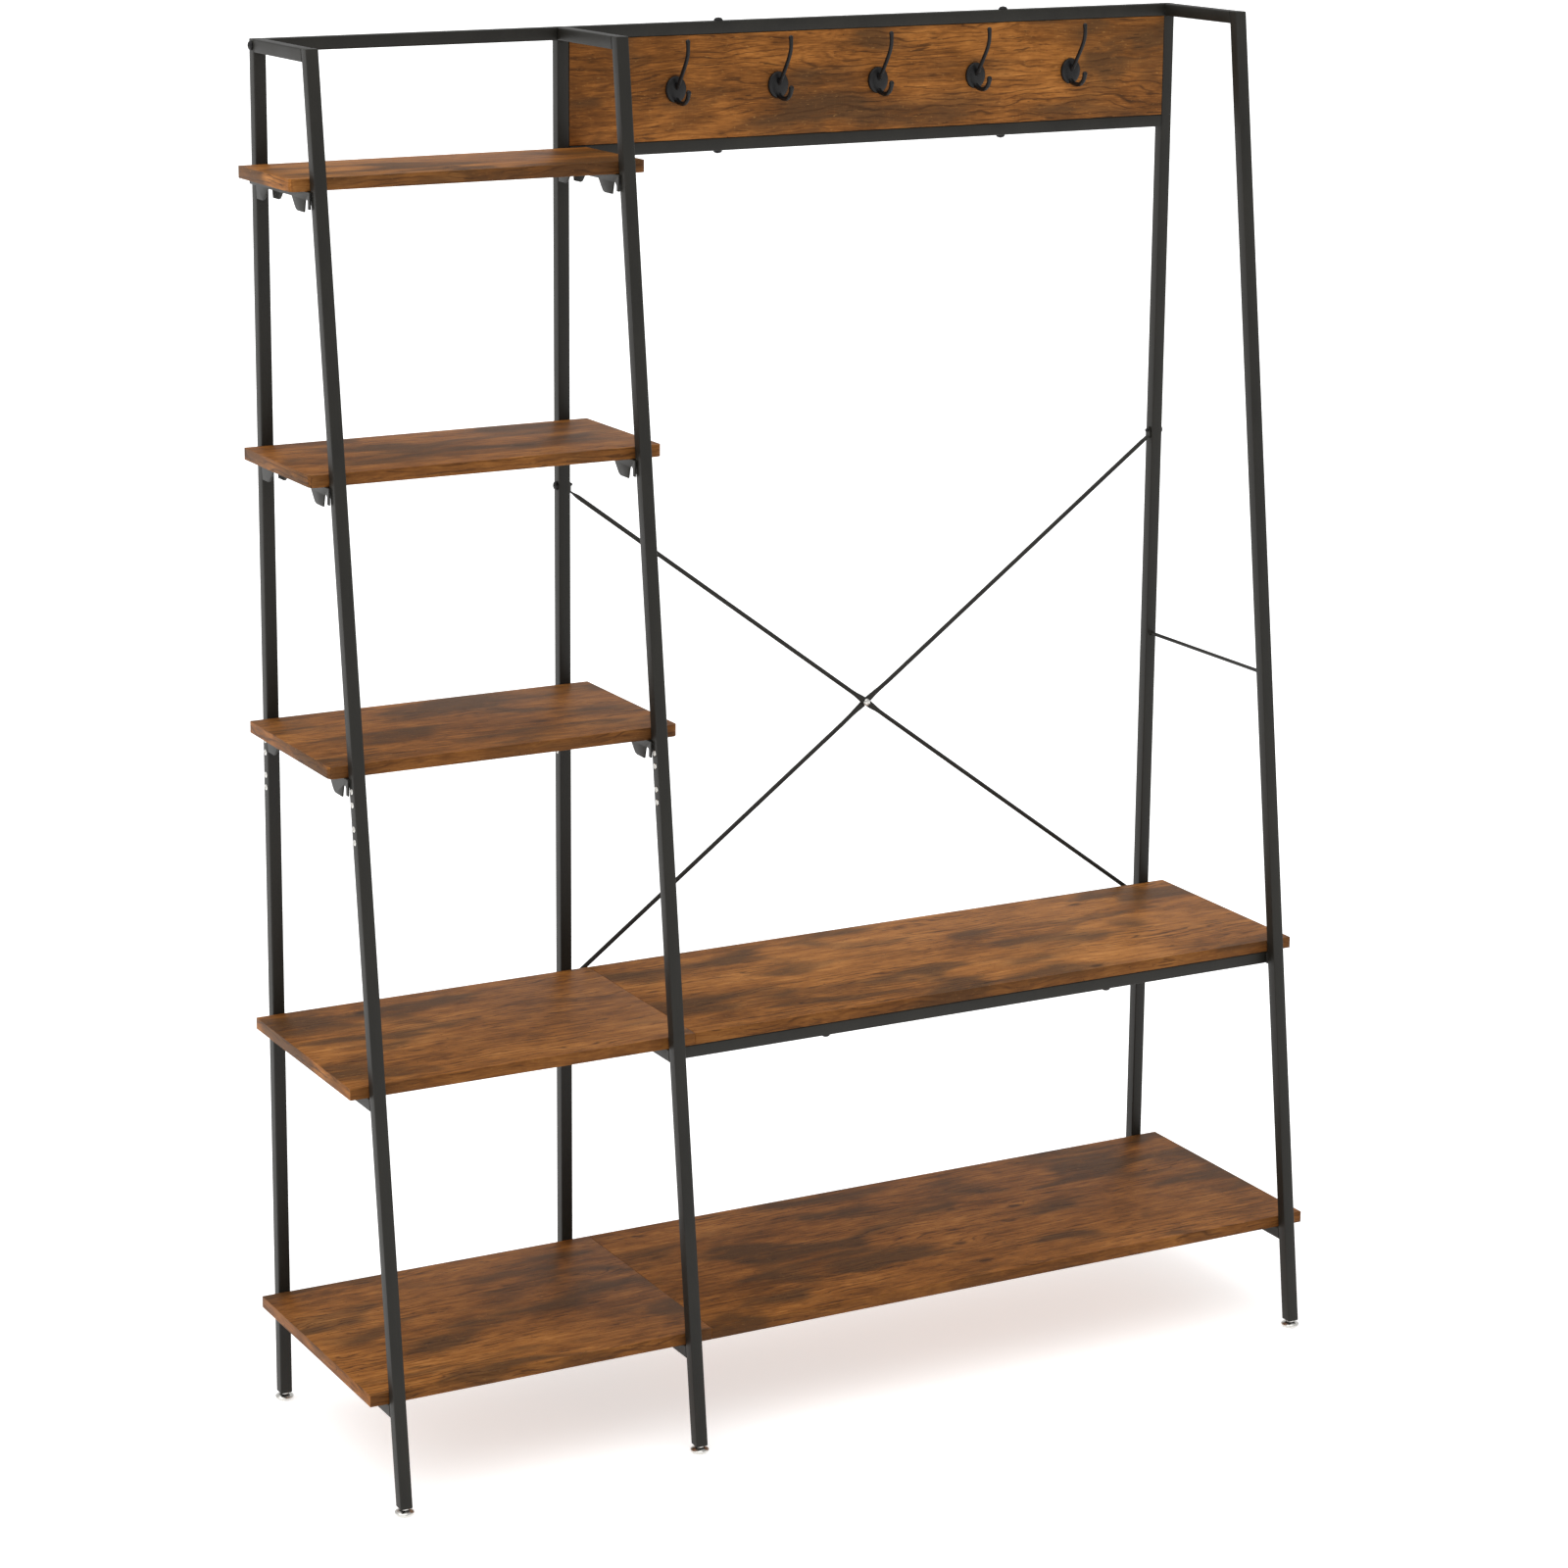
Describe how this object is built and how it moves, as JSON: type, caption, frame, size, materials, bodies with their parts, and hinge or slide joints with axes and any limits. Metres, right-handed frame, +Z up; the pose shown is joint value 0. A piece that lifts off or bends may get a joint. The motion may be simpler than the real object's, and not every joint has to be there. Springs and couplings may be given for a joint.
{
  "type": "hall tree",
  "caption": "Open hall tree on leaning tube side frames: a bay of shelves beside a long bench and shoe shelf, with a coat panel of double hooks and an X brace behind.",
  "frame": {"origin": "on the floor, at the middle of the outline", "axes": "+X to the right as seen from the front, +Y to the back, +Z up"},
  "size_m": [1.3686, 0.4116, 1.7541],
  "materials": {
    "powder_coat": "satin black powder coat, fine texture",
    "black_hardware": "black, slightly glossy",
    "bright_zinc": "bright zinc plate",
    "rustic_wood": "matte rustic brown wood-grain surface on particle board"
  },
  "bodies": {
    "frame": {"back_top_rail_left": "powder_coat", "back_top_rail_right": "powder_coat", "bench_board_left": "rustic_wood", "bench_board_right": "rustic_wood", "bench_front_rail": "powder_coat", "bench_rail_bolt_1": "black_hardware", "bench_rail_bolt_2": "black_hardware", "bottom_board_left": "rustic_wood", "bottom_board_right": "rustic_wood", "brace_bolt_falling_left": "black_hardware", "brace_bolt_falling_right": "black_hardware", "brace_bolt_rising_left": "black_hardware", "brace_bolt_rising_right": "black_hardware", "brace_centre_screw": "bright_zinc", "brace_rod_falling": "powder_coat", "brace_rod_rising": "powder_coat", "coat_hook_1": "black_hardware", "coat_hook_2": "black_hardware", "coat_hook_3": "black_hardware", "coat_hook_4": "black_hardware", "coat_hook_5": "black_hardware", "coat_panel": "rustic_wood", "left_bench_crossbar": "powder_coat", "left_bottom_crossbar": "powder_coat", "left_front_post": "powder_coat", "left_rear_post": "powder_coat", "left_top_rail": "powder_coat", "middle_bench_crossbar": "powder_coat", "middle_bottom_crossbar": "powder_coat", "middle_front_post": "powder_coat", "middle_rear_post": "powder_coat", "middle_shelf": "rustic_wood", "middle_shelf_bracket_left": "powder_coat", "middle_shelf_bracket_middle": "powder_coat", "middle_top_rail": "powder_coat", "panel_bolt_lower_1": "black_hardware", "panel_bolt_lower_2": "black_hardware", "panel_bolt_upper_1": "black_hardware", "panel_bolt_upper_2": "black_hardware", "panel_lower_rail": "powder_coat", "rail_end_bolt_left": "black_hardware", "rail_end_bolt_right": "black_hardware", "right_bench_crossbar": "powder_coat", "right_bottom_crossbar": "powder_coat", "right_front_post": "powder_coat", "right_rear_post": "powder_coat", "right_side_rod": "powder_coat", "right_top_rail": "powder_coat", "upper_shelf": "rustic_wood", "upper_shelf_bracket_left": "powder_coat", "upper_shelf_bracket_middle": "powder_coat"},
    "lower_shelf_unit": {"lower_shelf": "rustic_wood", "lower_shelf_bracket_left": "powder_coat", "lower_shelf_bracket_middle": "powder_coat"},
    "left_front_foot": {"left_front_foot": "bright_zinc"},
    "left_rear_foot": {"left_rear_foot": "bright_zinc"},
    "middle_front_foot": {"middle_front_foot": "bright_zinc"},
    "middle_rear_foot": {"middle_rear_foot": "bright_zinc"},
    "right_front_foot": {"right_front_foot": "bright_zinc"},
    "right_rear_foot": {"right_rear_foot": "bright_zinc"}
  },
  "joints": [
    {"name": "left_front_foot_screw", "type": "slide", "parent": "frame", "child": "left_front_foot", "axis": [0, 0, -1], "range_m": [0, 0.008]},
    {"name": "left_rear_foot_screw", "type": "slide", "parent": "frame", "child": "left_rear_foot", "axis": [0, 0, -1], "range_m": [0, 0.008]},
    {"name": "middle_front_foot_screw", "type": "slide", "parent": "frame", "child": "middle_front_foot", "axis": [0, 0, -1], "range_m": [0, 0.008]},
    {"name": "middle_rear_foot_screw", "type": "slide", "parent": "frame", "child": "middle_rear_foot", "axis": [0, 0, -1], "range_m": [0, 0.008]},
    {"name": "right_front_foot_screw", "type": "slide", "parent": "frame", "child": "right_front_foot", "axis": [0, 0, -1], "range_m": [0, 0.008]},
    {"name": "right_rear_foot_screw", "type": "slide", "parent": "frame", "child": "right_rear_foot", "axis": [0, 0, -1], "range_m": [0, 0.008]},
    {"name": "lower_shelf_height", "type": "slide", "parent": "frame", "child": "lower_shelf_unit", "axis": [0, 0, -1], "range_m": [0, 0.09]}
  ]
}
